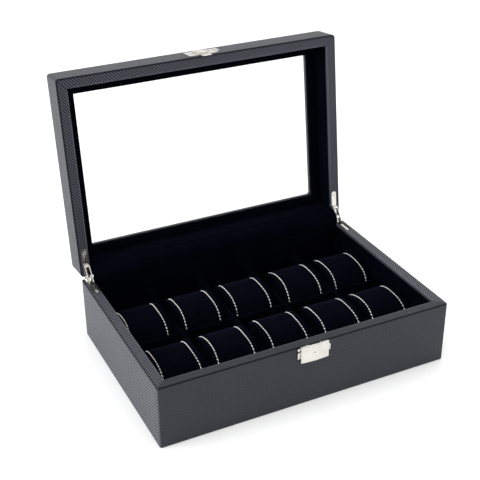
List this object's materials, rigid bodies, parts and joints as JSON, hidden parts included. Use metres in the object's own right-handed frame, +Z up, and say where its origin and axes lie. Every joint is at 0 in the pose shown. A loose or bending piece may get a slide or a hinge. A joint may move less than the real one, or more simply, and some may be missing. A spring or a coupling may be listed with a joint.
{
  "type": "watch box",
  "caption": "Hinged display box with cushioned compartments, a glazed lid on two stay hinges, and a key lock with a catch on the front.",
  "frame": {"origin": "centre of the base's underside", "axes": "+X to the right along the long front, +Y to the hinged back, +Z up; the front faces -Y"},
  "size_m": [0.28, 0.2421, 0.2514],
  "materials": {
    "leatherette": "carbon-weave embossed, semi-gloss",
    "lining_velvet": "short-pile velvet, matt",
    "cushion_velvet": "short-pile velvet with light stitching",
    "board": "raw fibreboard",
    "felt": "felt",
    "pane": "clear",
    "nickel": "polished nickel",
    "steel": "bright zinc"
  },
  "bodies": {
    "base": {"base_leatherette": "leatherette", "base_board_front": "board", "base_board_back": "board", "base_board_left": "board", "base_board_right": "board", "base_board_bottom": "board", "underside_felt": "felt", "floor_lining": "lining_velvet", "base_lining_front": "lining_velvet", "base_lining_back": "lining_velvet", "base_lining_left": "lining_velvet", "base_lining_right": "lining_velvet", "divider_lengthwise": "lining_velvet", "divider_cross_1": "lining_velvet", "divider_cross_2": "lining_velvet", "divider_cross_3": "lining_velvet", "divider_cross_4": "lining_velvet", "left_hinge_base_leaf": "nickel", "right_hinge_base_leaf": "nickel", "hinge_base_screws": "steel", "hinge_flap": "lining_velvet", "lock_plate": "nickel", "lock_case": "nickel", "lock_screws": "steel"},
    "lid": {"lid_leatherette": "leatherette", "lid_board_front": "board", "lid_board_back": "board", "lid_board_left": "board", "lid_board_right": "board", "lid_board_top": "board", "glass_pane": "pane", "glass_retainer": "lining_velvet", "lid_lining_front": "lining_velvet", "lid_lining_back": "lining_velvet", "lid_lining_left": "lining_velvet", "lid_lining_right": "lining_velvet", "left_hinge_lid_leaf": "nickel", "right_hinge_lid_leaf": "nickel", "left_hinge_pin": "steel", "right_hinge_pin": "steel", "hinge_lid_screws": "steel", "lid_catch": "nickel", "catch_screws": "steel"},
    "left_stay": {"left_hinge_stays": "nickel", "left_stay_pin": "steel"},
    "right_stay": {"right_hinge_stays": "nickel", "right_stay_pin": "steel"},
    "key": {"key_barrel": "nickel"},
    "bolt": {"lock_bolt": "steel"},
    "cushion_front_1": {"cushion_front_1": "cushion_velvet"},
    "cushion_front_2": {"cushion_front_2": "cushion_velvet"},
    "cushion_front_3": {"cushion_front_3": "cushion_velvet"},
    "cushion_front_4": {"cushion_front_4": "cushion_velvet"},
    "cushion_front_5": {"cushion_front_5": "cushion_velvet"},
    "cushion_back_1": {"cushion_back_1": "cushion_velvet"},
    "cushion_back_2": {"cushion_back_2": "cushion_velvet"},
    "cushion_back_3": {"cushion_back_3": "cushion_velvet"},
    "cushion_back_4": {"cushion_back_4": "cushion_velvet"},
    "cushion_back_5": {"cushion_back_5": "cushion_velvet"}
  },
  "joints": [
    {"name": "lid_hinge", "type": "hinge", "parent": "base", "child": "lid", "pos_m": [0, 0.0946, 0.062], "axis": [1, 0, 0], "range_deg": [0, 97], "deforming": ["hinge_flap"]},
    {"name": "left_stay_fold", "type": "hinge", "parent": "lid", "child": "left_stay", "pos_m": [-0.134, 0.09317, 0.07336], "axis": [1, 0, 0], "range_deg": [-148, 0]},
    {"name": "right_stay_fold", "type": "hinge", "parent": "lid", "child": "right_stay", "pos_m": [0.134, 0.09317, 0.07336], "axis": [1, 0, 0], "range_deg": [-148, 0]},
    {"name": "key_turn", "type": "hinge", "parent": "base", "child": "key", "pos_m": [0.0022, -0.096, 0.0516], "axis": [0, 1, 0], "range_deg": [0, 90]},
    {"name": "bolt_slide", "type": "slide", "parent": "base", "child": "bolt", "axis": [1, 0, 0], "range_m": [0, 0.00297]},
    {"name": "cushion_front_1_lift", "type": "slide", "parent": "base", "child": "cushion_front_1", "axis": [0, 0, 1], "range_m": [0, 0.03]},
    {"name": "cushion_front_2_lift", "type": "slide", "parent": "base", "child": "cushion_front_2", "axis": [0, 0, 1], "range_m": [0, 0.03]},
    {"name": "cushion_front_3_lift", "type": "slide", "parent": "base", "child": "cushion_front_3", "axis": [0, 0, 1], "range_m": [0, 0.03]},
    {"name": "cushion_front_4_lift", "type": "slide", "parent": "base", "child": "cushion_front_4", "axis": [0, 0, 1], "range_m": [0, 0.03]},
    {"name": "cushion_front_5_lift", "type": "slide", "parent": "base", "child": "cushion_front_5", "axis": [0, 0, 1], "range_m": [0, 0.03]},
    {"name": "cushion_back_1_lift", "type": "slide", "parent": "base", "child": "cushion_back_1", "axis": [0, 0, 1], "range_m": [0, 0.03]},
    {"name": "cushion_back_2_lift", "type": "slide", "parent": "base", "child": "cushion_back_2", "axis": [0, 0, 1], "range_m": [0, 0.03]},
    {"name": "cushion_back_3_lift", "type": "slide", "parent": "base", "child": "cushion_back_3", "axis": [0, 0, 1], "range_m": [0, 0.03]},
    {"name": "cushion_back_4_lift", "type": "slide", "parent": "base", "child": "cushion_back_4", "axis": [0, 0, 1], "range_m": [0, 0.03]},
    {"name": "cushion_back_5_lift", "type": "slide", "parent": "base", "child": "cushion_back_5", "axis": [0, 0, 1], "range_m": [0, 0.03]}
  ],
  "couplings": [
    {"joint": "left_stay_fold", "follows": "lid_hinge", "ratio": -1.5187},
    {"joint": "right_stay_fold", "follows": "lid_hinge", "ratio": -1.5187},
    {"joint": "key_turn", "follows": "bolt_slide", "rad_per_m": 528.83}
  ]
}
